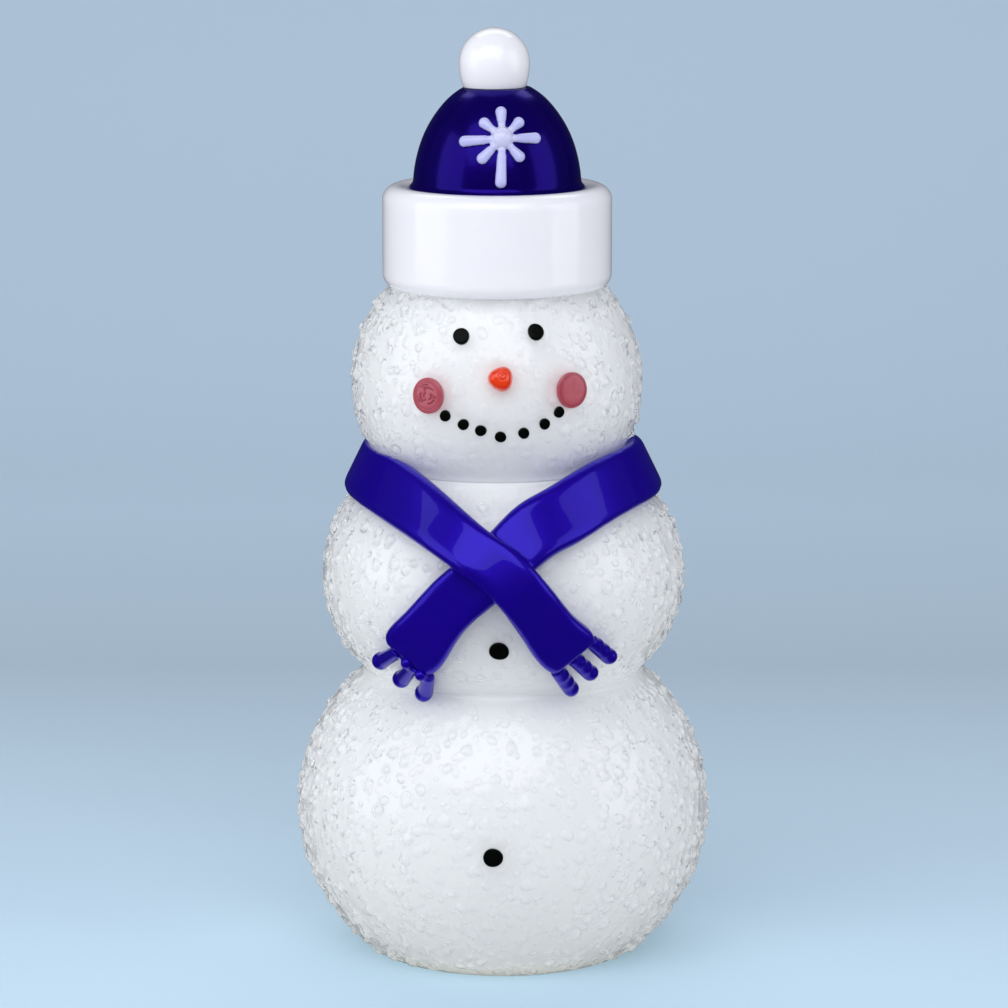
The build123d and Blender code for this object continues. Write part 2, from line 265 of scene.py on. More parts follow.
def grain(tree, place, spacing_mm, offset, share, height_mm, reach):
    """A grain of chips in some cells of a pattern: its height in metres, and the mask of the painted shade
    line at each foot.
    """
    moved = add_node(tree, "ShaderNodeVectorMath", {"operation": "ADD"}, {1: offset}, {0: place})
    cells = add_node(
        tree,
        "ShaderNodeTexVoronoi",
        {"feature": "F1"},
        {"Scale": 1 / (spacing_mm * MM), "Randomness": UNEVEN_PLACES},
        {"Vector": moved.outputs["Vector"]},
    )
    chance = add_node(tree, "ShaderNodeSeparateXYZ", links={"Vector": cells.outputs["Color"]})
    foot = add_node(
        tree,
        "ShaderNodeMapRange",
        values={"To Min": reach * 0.65, "To Max": reach * 1.25},
        links={"Value": chance.outputs["X"]},
    )
    ratio = add_node(
        tree,
        "ShaderNodeMath",
        {"operation": "DIVIDE"},
        links={0: cells.outputs["Distance"], 1: foot.outputs["Result"]},
    )
    square = add_node(tree, "ShaderNodeMath", {"operation": "POWER"}, {1: 2.0}, {0: ratio.outputs[0]})
    inside = add_node(
        tree, "ShaderNodeMath", {"operation": "SUBTRACT", "use_clamp": True}, {0: 1.0}, {1: square.outputs[0]}
    )
    top = add_node(tree, "ShaderNodeMath", {"operation": "POWER"}, {1: STEEP_FOOT}, {0: inside.outputs[0]})
    present = add_node(
        tree, "ShaderNodeMath", {"operation": "LESS_THAN"}, {1: share}, {0: chance.outputs["Y"]}
    )
    size = add_node(
        tree,
        "ShaderNodeMapRange",
        values={"To Min": 0.35 * height_mm * MM, "To Max": height_mm * MM},
        links={"Value": chance.outputs["Z"]},
    )
    near = add_node(
        tree,
        "ShaderNodeMapRange",
        {"interpolation_type": "SMOOTHSTEP"},
        {"From Min": LINE_RISES[0], "From Max": LINE_RISES[1]},
        {"Value": ratio.outputs[0]},
    )
    far = add_node(
        tree,
        "ShaderNodeMapRange",
        {"interpolation_type": "SMOOTHSTEP"},
        {"From Min": LINE_FALLS[0], "From Max": LINE_FALLS[1], "To Min": 1.0, "To Max": 0.0},
        {"Value": ratio.outputs[0]},
    )
    layers = []
    pairs = ((size.outputs["Result"], top.outputs[0]), (near.outputs["Result"], far.outputs["Result"]))
    for first, second in pairs:
        both = add_node(tree, "ShaderNodeMath", {"operation": "MULTIPLY"}, links={0: first, 1: second})
        layers.append(
            add_node(
                tree,
                "ShaderNodeMath",
                {"operation": "MULTIPLY"},
                links={0: both.outputs[0], 1: present.outputs[0]},
            ).outputs[0]
        )
    return layers


def crushed(tree, place):
    """Height in metres, and the mask of the painted shade line at each foot, of all the crushed glass at a
    place.
    """
    wander = add_node(
        tree, "ShaderNodeTexNoise", values={"Scale": 1 / WANDER_SIZE, "Detail": 2.0}, links={"Vector": place}
    )
    centred = add_node(
        tree,
        "ShaderNodeVectorMath",
        {"operation": "SUBTRACT"},
        {1: (0.5, 0.5, 0.5)},
        {0: wander.outputs["Color"]},
    )
    bent = add_node(
        tree,
        "ShaderNodeVectorMath",
        {"operation": "MULTIPLY_ADD"},
        {1: (WANDER, WANDER, WANDER)},
        {0: centred.outputs["Vector"], 2: place},
    ).outputs["Vector"]
    grains = [  # spacing in mm, offset, share of the cells, height in mm, reach as a share of the spacing
        grain(tree, bent, 3.8, (0, 0, 0), 0.8, 1.3, 0.44),  # coarse chips
        grain(tree, bent, 2.3, (0.31, 0.17, 0.05), 0.6, 0.5, 0.45),  # fine chips
        grain(tree, place, 9.0, (0.07, 0.23, 0.41), 0.2, 1.6, 0.19),  # a few tall round beads
    ]
    merged = list(grains[0])
    for other in grains[1:]:
        for kind in (0, 1):
            merged[kind] = add_node(
                tree, "ShaderNodeMath", {"operation": "MAXIMUM"}, links={0: merged[kind], 1: other[kind]}
            ).outputs[0]
    waves = add_node(
        tree, "ShaderNodeTexNoise", values={"Scale": 1 / SWELL_SIZE, "Detail": 1.0}, links={"Vector": place}
    )
    swell = add_node(
        tree,
        "ShaderNodeMath",
        {"operation": "MULTIPLY_ADD"},
        {1: SWELL},
        {0: waves.outputs["Fac"], 2: merged[0]},
    )
    return swell.outputs[0], merged[1]


# %% [markdown]
# ## Glass, by kind
#
# Every piece is soda-lime glass, so the index of refraction is 1.5 throughout and the skin that the
# flame leaves is almost perfectly smooth. What differs is what is melted into it: tin or fluoride
# crystals make the opal white and scatter light inside it, cobalt makes a blue so deep that a few
# millimetres look solid, and the face's canes are dense with pigment.

# %% Colours of the cane and the rod
GLASS_IOR = 1.5


def centre_of(node):
    """The middle of a solid's box, in metres."""
    low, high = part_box(node)
    return tuple((a + b) / 2 for a, b in zip(low, high))


def fire_polished(name, base, extra=None):
    """Opaque coloured glass: a clear skin over a body that scatters."""
    values = {"Base Color": colour(base), "Roughness": 0.07, "IOR": GLASS_IOR, "Coat Weight": 0.5}
    values["Coat Roughness"] = 0.03
    values.update(extra or {})
    return new_material(name, values)


def cloud(tree, size_mm, low, high, shader):
    """Lets a body colour drift between two close shades over patches of a given size."""
    noise = add_node(
        tree,
        "ShaderNodeTexNoise",
        values={"Scale": 1 / (size_mm * MM), "Detail": 3.0, "Distortion": 0.6},
        links={"Vector": object_place(tree)},
    )
    mix = add_node(
        tree,
        "ShaderNodeMix",
        {"data_type": "RGBA"},
        {"A": colour(low), "B": colour(high)},
        {"Factor": noise.outputs["Fac"]},
    )
    tree.links.new(mix.outputs["Result"], shader.inputs["Base Color"])
    return mix


# %% [markdown]
# ### Cobalt
#
# Cobalt oxide is the strongest of the glassmaker's blues. Light that enters the strip turns back from
# its inner walls and leaves blue, so a softbox shows twice: once white and thin on the skin, and once
# broad and blue from inside. The Metallic share draws the second, since only a metal tints what it
# reflects. Where no softbox stands, the hollows are nearly black. The cap is solid, and far thicker than
# the strip, so its cobalt is darker.

# %% Cobalt glass
cobalt, tree, shader = fire_polished(
    "cobalt_glass",
    "2203AC",
    {"Metallic": 0.52, "Roughness": 0.31, "Specular IOR Level": 0.12, "Coat Weight": 0.25},
)
cloud(tree, 22, "1C02A2", "2804B8", shader)
thick_cobalt, tree, shader = fire_polished(
    "thick_cobalt_glass",
    "17026E",
    {"Metallic": 0.6, "Roughness": 0.22, "Specular IOR Level": 0.06, "Coat Weight": 0.04},
)
cloud(tree, 22, "12025E", "1C0384", shader)

# %% [markdown]
# ### White, black, orange and rose
#
# The white of the cuff and the bobble is the densest opal, so light goes a millimetre or two in and
# comes back out, which softens its shading. Black cane is near enough opaque. Orange-red and rose are
# striking colours, and drift a little from one side of a bead to the other. The rose cane was pressed
# with a stamp, and its grooves and the dips at the cheeks' rims get a darker, painted shade. The
# snowflake's trails are thin enough for the cobalt to show through, so they look lavender, and its
# thick hub is whiter.

# %% Opaque colours
white, tree, shader = fire_polished(
    "dense_white_glass", "F4F4FA", {"Subsurface Weight": 0.3, "Roughness": 0.14, "Coat Weight": 0.2}
)
shader.inputs["Subsurface Radius"].default_value = (1.0, 1.0, 1.0)
shader.inputs["Subsurface Scale"].default_value = 3 * MM
cloud(tree, 18, "F7F7FD", "FCFBFC", shader)

trail_white, tree, shader = fire_polished("trailed_white_glass", "D9D9F6", {"Coat Weight": 0.3})
thin = cloud(tree, 4, "B9BCEE", "CDCFF6", shader)
away = add_node(
    tree,
    "ShaderNodeVectorMath",
    {"operation": "DISTANCE"},
    {1: centre_of("snowflake_bead")},
    {0: object_place(tree)},
)
hub = add_node(
    tree,
    "ShaderNodeMapRange",
    {"interpolation_type": "SMOOTHSTEP"},
    {"From Min": 2 * MM, "From Max": 5 * MM, "To Min": 1.0, "To Max": 0.0},
    {"Value": away.outputs["Value"]},
)
thick = add_node(
    tree,
    "ShaderNodeMix",
    {"data_type": "RGBA"},
    {"B": colour("E4E5FA")},
    {"Factor": hub.outputs["Result"], "A": thin.outputs["Result"]},
)
tree.links.new(thick.outputs["Result"], shader.inputs["Base Color"])

black, tree, shader = fire_polished(
    "black_cane", "050605", {"Specular IOR Level": 0.06, "Roughness": 0.3, "Coat Weight": 0.03}
)
cloud(tree, 2, "020302", "0A0E0A", shader)

orange, tree, shader = fire_polished("orange_red_cane", "EE3A10")
cloud(tree, 2.5, "E62C04", "F64E20", shader)

rose, tree, shader = fire_polished("rose_cane", "B8606A", {"Roughness": 0.25, "Coat Weight": 0.3})
tones = cloud(tree, 3.5, "AA3E4C", "C05C68", shader)
# painted shade: the grooves and rim dips of a cheek are darkened to 7E2C3C by the groove value on its points
groove = add_node(tree, "ShaderNodeAttribute", {"attribute_name": "groove"})
painted_groove_shade = add_node(
    tree,
    "ShaderNodeMix",
    {"data_type": "RGBA"},
    {"B": colour("7E2C3C")},
    {"Factor": groove.outputs["Fac"], "A": tones.outputs["Result"]},
)
tree.links.new(painted_groove_shade.outputs["Result"], shader.inputs["Base Color"])

# %% [markdown]
# ### Opal with a blush
#
# Light coloured by the orange nose and the rose cheeks spreads through the glass round them, and that
# glow is painted on the white beneath as a faint halo. The halo is painted by distance from each of
# those pieces, so it stays right if they move.

# %% Opal glass
OPAL_WHITE = "FAFBFB"
# each piece, the tint of the painted glow it casts on the white, and the distances in mm where that glow is
# strongest and where it ends
PAINTED_GLOWS = (
    ("nose", "FFB4A6", 3.0, 8.5),
    ("cheek_left", "F0C4C8", 4.5, 9.0),
    ("cheek_right", "F0C4C8", 4.5, 9.5),
)

opal, tree, shader = new_material(
    "white_opal_glass", {"Base Color": colour(OPAL_WHITE), "Roughness": 0.3, "IOR": GLASS_IOR}
)
place = object_place(tree)
layer = None
for node, tint, core_mm, edge_mm in PAINTED_GLOWS:
    away = add_node(
        tree, "ShaderNodeVectorMath", {"operation": "DISTANCE"}, {1: centre_of(node)}, {0: place}
    )
    reach = add_node(
        tree,
        "ShaderNodeMapRange",
        {"interpolation_type": "SMOOTHSTEP"},
        {"From Min": core_mm * MM, "From Max": edge_mm * MM, "To Min": 0.9, "To Max": 0.0},
        {"Value": away.outputs["Value"]},
    )
    painted_glow = add_node(
        tree,
        "ShaderNodeMix",
        {"data_type": "RGBA"},
        {"A": colour(OPAL_WHITE), "B": colour(tint)},
        {"Factor": reach.outputs["Result"]},
    )
    if layer is not None:
        tree.links.new(layer, painted_glow.inputs["A"])
    layer = painted_glow.outputs["Result"]
tree.links.new(layer, shader.inputs["Base Color"])

# %% [markdown]
# ### Clear glass that lets the lamps in
#
# A lamp can't find its way through a bent surface by chance, and glass over white would render dark
# and noisy. So rays on their way to a lamp, and those that have already scattered off the white, pass
# straight through, and only what the eye follows is bent. Crushed glass that has been melted again is
# never quite clear: a part of the light scatters in its skin, which is what makes the lumps readable.

# %% Clear glass
MILKINESS = 0.34

clear, tree, shader = new_material(
    "crushed_crystal", {"Roughness": 0.03, "IOR": GLASS_IOR, "Transmission Weight": 1 - MILKINESS}
)
rest = add_node(tree, "ShaderNodeAttribute", {"attribute_name": "rest"}).outputs["Vector"]
chips = add_node(tree, "ShaderNodeAttribute", {"attribute_name": "chips"}).outputs["Fac"]
height, foot_line = crushed(tree, rest)
raised = add_node(tree, "ShaderNodeMath", {"operation": "MULTIPLY"}, links={0: height, 1: chips})
bump = add_node(
    tree, "ShaderNodeBump", values={"Strength": 0.55, "Distance": 1.0}, links={"Height": raised.outputs[0]}
)
tree.links.new(bump.outputs["Normal"], shader.inputs["Normal"])
patches = add_node(
    tree, "ShaderNodeTexNoise", values={"Scale": 1 / (2.6 * MM), "Detail": 1.0}, links={"Vector": rest}
)
crescent = add_node(
    tree,
    "ShaderNodeMapRange",
    {"interpolation_type": "SMOOTHSTEP"},
    {"From Min": 0.56, "From Max": 0.65},
    {"Value": patches.outputs["Fac"]},
)
# painted shade: a grey (4A4E50) line at the chips' feet, in patches, where air is caught, with more of it
# towards the sides
trapped_air_shade = add_node(
    tree, "ShaderNodeMath", {"operation": "MULTIPLY"}, links={0: crescent.outputs["Result"], 1: foot_line}
)
air = add_node(tree, "ShaderNodeAttribute", {"attribute_name": "air"}).outputs["Fac"]
air_shade_line = add_node(tree, "ShaderNodeMath", {"operation": "MULTIPLY"}, links={0: trapped_air_shade.outputs[0], 1: air})
tint = add_node(
    tree,
    "ShaderNodeMix",
    {"data_type": "RGBA"},
    {"A": colour("FCFBF8"), "B": colour("4A4E50")},
    {"Factor": air_shade_line.outputs[0]},
)
tree.links.new(tint.outputs["Result"], shader.inputs["Base Color"])
path = add_node(tree, "ShaderNodeLightPath")
straight = add_node(tree, "ShaderNodeBsdfTransparent", values={"Color": colour("F6F9F8")})
either = add_node(
    tree,
    "ShaderNodeMath",
    {"operation": "MAXIMUM"},
    links={0: path.outputs["Is Shadow Ray"], 1: path.outputs["Is Diffuse Ray"]},
)
through = add_node(
    tree,
    "ShaderNodeMixShader",
    links={0: either.outputs[0], 1: shader.outputs["BSDF"], 2: straight.outputs["BSDF"]},
)
tree.links.new(through.outputs["Shader"], tree.nodes["Material Output"].inputs["Surface"])

# %% Joints and the ground foot
fused = new_material("fused_joint", {"Alpha": 0.0})[0]
GLOW = {"Emission Color": colour("F2F0EC"), "Emission Strength": 0.3}  # light led down by the opal
frosted, tree, shader = new_material("ground_flat", {"Roughness": 0.6, "IOR": GLASS_IOR, **GLOW})
cloud(tree, 6, "D4DAD8", "ECEFEC", shader)

# %% Give each solid its glass
GLASS_OF = {
    "opal_glass": opal,
    "clear_glass": clear,
    "cobalt_glass": cobalt,
    "white_glass": white,
    "snowflake_glass": trail_white,
    "black_glass": black,
    "orange_glass": orange,
    "rose_glass": rose,
}
slot_of = {part["node"]: part["material_slot"] for part in frame["record"]["subparts"]}
for node, thing in frame["nodes"].items():
    thing.data.materials.clear()
    thing.data.materials.append(GLASS_OF[slot_of[node]])
print("finishes", sorted(set(slot_of.values())))

# %% [markdown]
# ## Clear casings
#
# Each ball's clear layer is drawn again as a fine, even skin, because the chips need points to lift.
# Its outline is read off the solid casing at the back, where nothing is pressed in, and turned about the
# ball's axis. The inner wall is set a little inside the opal, since the two are fused and no air is
# between them. Where two balls meet, the cut faces are drawn with an invisible finish: the glass runs
# on there, so no light turns back. The foot was ground flat on a wheel, so it is frosted, and it glows
# a little with light led down by the opal.

# %% Outline of a casing
FUSED_IN = 1.2 * MM  # how far the skin's inner wall reaches into the opal
PROBE_STEP = 0.1 * MM  # the solid's outline is probed at every such height,
PROBE_START = 0.02 * MM  # from just above its foot


def copy_of(*nodes):
    """One merged mesh of several solids, as a working copy."""
    work = bmesh.new()
    for node in nodes:
        work.from_mesh(frame["nodes"][node].data)
    bmesh.ops.remove_doubles(work, verts=work.verts, dist=0.001 * MM)
    return work


def even(points, step):
    """The same outline with points evenly spaced along it."""
    points = np.array(points)
    along = np.concatenate([[0], np.cumsum(np.hypot(*np.diff(points, axis=0).T))])
    marks = np.linspace(0, along[-1], max(2, int(along[-1] / step)))
    return np.stack([np.interp(marks, along, points[:, i]) for i in (0, 1)], axis=1)


def outline_at_back(node, step):
    """Outer and inner outline of a hollow solid at its back, as (radius, height) pairs from the foot up."""
    work = copy_of(node)
    tree = BVHTree.FromBMesh(work)
    work.free()
    low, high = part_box(node)
    axis = (low[0] + high[0]) / 2
    outer, inner = [], []
    for z in np.arange(low[2] + PROBE_START, high[2], PROBE_STEP):
        hit = tree.ray_cast(Vector((axis, 1.0, z)), Vector((0, -1, 0)))[0]
        if hit is not None:
            outer.append((hit.y, z))
        hit, normal = tree.ray_cast(Vector((axis, 0.0, z)), Vector((0, 1, 0)))[:2]
        if hit is not None and normal.y < 0:
            inner.append((hit.y - FUSED_IN, z))
    return axis, even(outer, step), even(inner, 3 * step)


def fan(start, end, step):
    """Points along a straight stretch of outline, without its ends."""
    start, end = np.array(start), np.array(end)
    count = max(2, int(np.hypot(*(end - start)) / step))
    return start + (end - start) * np.linspace(0, 1, count + 1)[1:-1, None]


# %% Turn an outline into a closed mesh


def turned(name, axis, outline, around, closed):
    """An outline of (radius, height), turned about an upright axis, with a point where it meets the axis."""
    outline = np.array(outline)
    on_axis = outline[:, 0] < 1e-6
    rings = outline[~on_axis]
    angles = np.linspace(0, 2 * np.pi, around, endpoint=False)
    right, back = axis + rings[:, :1] * np.sin(angles), -rings[:, :1] * np.cos(angles)
    spun = np.stack([right, back, np.repeat(rings[:, 1:], around, 1)], axis=2)
    points = spun.reshape(-1, 3).tolist() + [(axis, 0.0, z) for _, z in outline[on_axis]]
    ring = np.arange(around)
    faces = []
    for row in range(len(rings) if closed else len(rings) - 1):
        low, high = row * around + ring, (row + 1) % len(rings) * around + ring
        faces += np.stack([low, np.roll(low, -1), np.roll(high, -1), high], axis=1).tolist()
    if not closed:
        first, last = len(points) - 2, len(points) - 1
        end = (len(rings) - 1) * around
        faces += [(first, (i + 1) % around, i) for i in range(around)]
        faces += [(last, end + i, end + (i + 1) % around) for i in range(around)]
    work = bmesh.new()
    mesh = bpy.data.meshes.new(name)
    mesh.from_pydata(points, [], faces)
    work.from_mesh(mesh)
    bmesh.ops.recalc_face_normals(work, faces=work.faces)
    work.to_mesh(mesh)
    work.free()
    return mesh


# %% Build the three skins
SKINS = {  # spacing up the outline in mm, points around, and how much calmer the front is
    "bottom_ball_casing": (0.8, 480, 0.35),
    "middle_ball_casing": (0.68, 480, 0.45),
    "head_casing": (0.6, 430, 0.75),
}
BEADS = [node for node, slot in slot_of.items() if slot in ("black_glass", "orange_glass", "rose_glass")]
NEAR_NECK = 0.5 * MM  # the ends of the outlines lie this near a neck's middle
NECKS = [
    (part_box(below)[1][2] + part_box(above)[0][2]) / 2
    for below, above in (("bottom_ball_casing", "middle_ball_casing"), ("middle_ball_casing", "head_casing"))
]
LAID_ON = ["scarf", *sorted(node for node in frame["nodes"] if node.startswith("fringe"))]
work = copy_of(*LAID_ON)
laid_on = BVHTree.FromBMesh(work)
work.free()

# Where chips fade out, and over how much.
WALL_SLACK = 0.5 * MM  # a point this near the outer outline is on the outer wall
FOOT_FADE = 1.2 * MM  # up from the ground foot
NECK_FADE = 7 * MM  # away from a neck
FRONT_SPREAD = 32  # degrees to either side over which the front is calmer
BEAD_BARE_MM, BEAD_FADE_MM = 0.2, 1.8  # away from the rim of a slice, a cheek or the nose
LAID_ON_FADE = 2.2 * MM  # away from the scarf and its fringe,
LAID_ON_BARE = 0.2  # and the share of that with no chips at all
BELOW_SCARF, ABOVE_SCARF = 12 * MM, 3 * MM  # the band in which those two are searched for

# How much painted shade shows as dark lines where air is caught at the chips' feet.
AIR_SHADE_IN_FRONT, AIR_SHADE_GAINED = 0.12, 0.63  # in front, and how much more at the sides
AIR_SHADE_FROM, AIR_SHADE_OVER = 25, 45  # degrees from the front where the gain begins, and how many it takes


def chips_kept(points, axis, outer, calmer):
    """How strongly chips stand out at each point: not at all on the inner wall, the foot and the beads."""
    wall = np.interp(points[:, 2], outer[:, 1], outer[:, 0])
    radius = np.hypot(points[:, 0] - axis, points[:, 1])
    keep = (radius > wall - WALL_SLACK) * np.clip(points[:, 2] / FOOT_FADE, 0, 1)
    for neck in NECKS:
        away = np.clip(np.abs(points[:, 2] - neck) / NECK_FADE, 0, 1)
        keep *= away * away * (3 - 2 * away)  # fades without a crease
    azimuth = np.degrees(np.arctan2(points[:, 0] - axis, -points[:, 1]))
    keep *= 1 - calmer * np.exp(-((azimuth / FRONT_SPREAD) ** 2))
    for bead in BEADS:
        low, high = (np.array(corner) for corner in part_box(bead))
        reach = (high - low)[[0, 2]].max() / 2
        gap = (np.linalg.norm(points - (low + high) / 2, axis=1) - reach) / MM
        keep *= np.clip((gap - BEAD_BARE_MM) / BEAD_FADE_MM, 0, 1)
    low, high = (np.array(corner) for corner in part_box("scarf"))
    beside = (points[:, 2] > low[2] - BELOW_SCARF) & (points[:, 2] < high[2] + ABOVE_SCARF)
    for i in np.flatnonzero((keep > 0) & beside):
        gap = laid_on.find_nearest(Vector(points[i]), LAID_ON_FADE)[3]
        if gap is not None:
            keep[i] *= max(0.0, gap / LAID_ON_FADE - LAID_ON_BARE)
    return keep


def skin(node):
    """One ball's clear layer as a fine closed mesh, with what the chips need to know."""
    spacing, around, calmer = SKINS[node]
    step = spacing * MM
    axis, outer, inner = outline_at_back(node, step)
    for row in (outer[0], outer[-1]):  # the two skins at a neck meet halfway between the solids
        row[1] += next((neck - row[1] for neck in NECKS if abs(neck - row[1]) < NEAR_NECK), 0)
    if node == "bottom_ball_casing":
        foot = [(0.0, 0.0), *fan((0.0, 0.0), outer[0], 2 * step)]
        floor = [*fan(inner[0], (0.0, inner[0][1]), 3 * step), (0.0, inner[0][1])]
        outline = [*foot, *outer, *fan(outer[-1], inner[-1], step), *inner[::-1], *floor]
    elif node == "head_casing":
        crown = [(0.0, outer[-1][1]), *outer[::-1]]
        outline = [*crown, *fan(outer[0], inner[0], step), *inner, (0.0, inner[-1][1])]
    else:
        outline = [*outer, *fan(outer[-1], inner[-1], step), *inner[::-1], *fan(inner[0], outer[0], step)]
    mesh = turned(node + "_skin", axis, outline, around, node == "middle_ball_casing")
    points = np.zeros(3 * len(mesh.vertices))
    mesh.vertices.foreach_get("co", points)
    mesh.attributes.new("rest", "FLOAT_VECTOR", "POINT").data.foreach_set("vector", points)
    points = points.reshape(-1, 3)
    kept = chips_kept(points, axis, outer, calmer)
    aside = np.abs(np.degrees(np.arctan2(points[:, 0] - axis, -points[:, 1])))
    # how much painted shade the lines at the chips' feet get: a little in front, more towards the sides
    air = kept * (AIR_SHADE_IN_FRONT + AIR_SHADE_GAINED * np.clip((aside - AIR_SHADE_FROM) / AIR_SHADE_OVER, 0, 1))
    for name, values in (("chips", kept), ("air", air)):
        mesh.attributes.new(name, "FLOAT", "POINT").data.foreach_set("value", values)
    flat = [abs(face.normal.z) > 0.99 for face in mesh.polygons]
    heights = [face.center.z for face in mesh.polygons]
    joint = [f and min(abs(z - neck) for neck in NECKS) < 0.3 * MM for f, z in zip(flat, heights)]
    ground = [f and z < 0.1 * MM for f, z in zip(flat, heights)]
    for name, chosen in (("joint", joint), ("ground", ground)):
        mesh.attributes.new(name, "BOOLEAN", "FACE").data.foreach_set("value", chosen)
    piece = bpy.data.objects.new(node + "_skin", mesh)
    scene.collection.objects.link(piece)
    return piece


skins = {node: skin(node) for node in SKINS}
for node, piece in skins.items():
    print(node, "faces", len(piece.data.polygons))

# %% [markdown]
# ## Chips on the skin
#
# One tree of Geometry Nodes lifts each skin by the pattern of crushed glass. Named values on the points
# say where they lay before, how much of the pattern they take, and how much painted shade marks the air
# caught there, and two named choices on the faces say which are joints and which are the ground foot.

# %% Geometry Nodes for the chips


def chips_tree():
    """The tree that lifts a skin into chips. Its inputs are the chips' height and the finishes."""
    tree = bpy.data.node_groups.new("crushed_glass", "GeometryNodeTree")
    face = tree.interface
    face.new_socket("Geometry", in_out="INPUT", socket_type="NodeSocketGeometry")
    face.new_socket("Chip Height", in_out="INPUT", socket_type="NodeSocketFloat")
    for finish in ("Glass", "Joint", "Ground"):
        face.new_socket(finish, in_out="INPUT", socket_type="NodeSocketMaterial")
    face.new_socket("Geometry", in_out="OUTPUT", socket_type="NodeSocketGeometry")
    start = add_node(tree, "NodeGroupInput")
    place = add_node(tree, "GeometryNodeInputPosition").outputs["Position"]
    kept = add_node(tree, "GeometryNodeInputNamedAttribute", {"data_type": "FLOAT"}, {"Name": "chips"})
    lift = crushed(tree, place)[0]
    for share in (start.outputs["Chip Height"], kept.outputs["Attribute"]):
        scaled = add_node(tree, "ShaderNodeMath", {"operation": "MULTIPLY"}, links={0: lift, 1: share})
        lift = scaled.outputs[0]
    out = add_node(tree, "GeometryNodeInputNormal")
    offset = add_node(
        tree, "ShaderNodeVectorMath", {"operation": "SCALE"}, links={0: out.outputs["Normal"], "Scale": lift}
    )
    moved = add_node(
        tree,
        "GeometryNodeSetPosition",
        links={"Geometry": start.outputs["Geometry"], "Offset": offset.outputs["Vector"]},
    )
    smooth = add_node(tree, "GeometryNodeSetShadeSmooth", links={"Geometry": moved.outputs["Geometry"]})
    real = add_node(tree, "GeometryNodeRealizeInstances", links={"Geometry": smooth.outputs["Geometry"]})
    layer = add_node(
        tree,
        "GeometryNodeSetMaterial",
        links={"Geometry": real.outputs["Geometry"], "Material": start.outputs["Glass"]},
    )
    for name, finish in (("joint", "Joint"), ("ground", "Ground")):
        named = add_node(tree, "GeometryNodeInputNamedAttribute", {"data_type": "BOOLEAN"}, {"Name": name})
        chosen = named.outputs["Attribute"]
        links = {"Geometry": layer.outputs["Geometry"], "Selection": chosen}
        flat = add_node(tree, "GeometryNodeSetShadeSmooth", values={"Shade Smooth": False}, links=links)
        links = {"Geometry": flat.outputs["Geometry"], "Selection": chosen, "Material": start.outputs[finish]}
        layer = add_node(tree, "GeometryNodeSetMaterial", links=links)
    add_node(tree, "NodeGroupOutput", links={"Geometry": layer.outputs["Geometry"]})
    return tree


# %% Grow the chips and keep the result


def kept_as_mesh(piece):
    """Replaces a piece's mesh by what its modifiers make of it, and drops them."""
    piece.update_tag()
    graph = bpy.context.evaluated_depsgraph_get()
    result = bpy.data.meshes.new_from_object(piece.evaluated_get(graph), depsgraph=graph)
    piece.modifiers.clear()
    piece.data = result
    return sum(len(face.vertices) - 2 for face in result.polygons)


crushed_glass = chips_tree()
for node, piece in skins.items():
    modifier = piece.modifiers.new("grow", "NODES")
    modifier.node_group = crushed_glass
    values = {"Chip Height": 1.0, "Glass": clear, "Joint": fused, "Ground": frosted}
    for socket in crushed_glass.interface.items_tree:
        if socket.in_out == "INPUT" and socket.name in values:
            modifier[socket.identifier] = values[socket.name]
    triangles = kept_as_mesh(piece)
    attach(piece, "root")
    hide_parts(node)
    print(node, "triangles", triangles)

# %% [markdown]
# ## Melted together
#
# The opal bubbles were joined hot, and so were the hub and rays of the snowflake, so there is no seam
# between them: each joint flowed into a small hollow curve. The scarf was laid on hot, and its strands
# were stuck under its ends one by one. A voxel remesh melts copies of the solids into one skin, and
# rounds of smoothing draw the edges round, as the flame does.

# %% A melt of one or more solids
KNOB_OUT = 0.5 * MM  # how much further out a knob stands than its place


def melted(name, work, voxel_mm, rounds, nodes):
    """Melts a working copy into one smooth piece that stands for its solids."""
    mesh = bpy.data.meshes.new(name)
    work.to_mesh(mesh)
    work.free()
    piece = bpy.data.objects.new(name, mesh)
    scene.collection.objects.link(piece)
    melt = piece.modifiers.new("melt", "REMESH")
    melt.mode, melt.voxel_size = "VOXEL", voxel_mm * MM
    flow = piece.modifiers.new("flow", "SMOOTH")
    flow.factor, flow.iterations = 0.5, rounds
    triangles = kept_as_mesh(piece)
    piece.data.materials.clear()
    piece.data.materials.append(GLASS_OF[slot_of[nodes[0]]])
    piece.data.polygons.foreach_set("use_smooth", [True] * len(piece.data.polygons))
    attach(piece, "root")
    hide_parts(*nodes)
    print(name, "triangles", triangles)


def blob(work, place, radius):
    """Adds a ball of glass to a working copy."""
    made = bmesh.ops.create_icosphere(work, subdivisions=3, radius=radius)
    bmesh.ops.translate(work, verts=made["verts"], vec=Vector(place))


def knob(work, place, radius):
    """Adds a ball that stands a little further out from the figure's axis than its place."""
    out = np.array([place[0], place[1], 0.0])
    blob(work, place + out * (KNOB_OUT / np.linalg.norm(out)), radius)


def ends_of(node):
    """The two ends of a long solid, as the middles of its outermost points along its length."""
    points = np.array([corner.co for corner in frame["nodes"][node].data.vertices])
    middle = points.mean(axis=0)
    length = np.linalg.svd(points - middle, full_matrices=False)[2][0]
    along = (points - middle) @ length
    return middle + length * along.min(), middle + length * along.max()


# %% Opal walls
bubbles = ["bottom_ball_bubble", "middle_ball_bubble", "head_bubble"]
melted("opal_melted", copy_of(*bubbles), voxel_mm=1.5, rounds=55, nodes=bubbles)

# %% Scarf and fringe
RIGHT_KNOBS = (0.3, 0.56, 0.82)  # shares of the way down a strand
LEFT_KNOB = 0.86
GAP_KNOB_LOWER = 1.5 * MM  # how far under the strands' roots the knobs between them sit

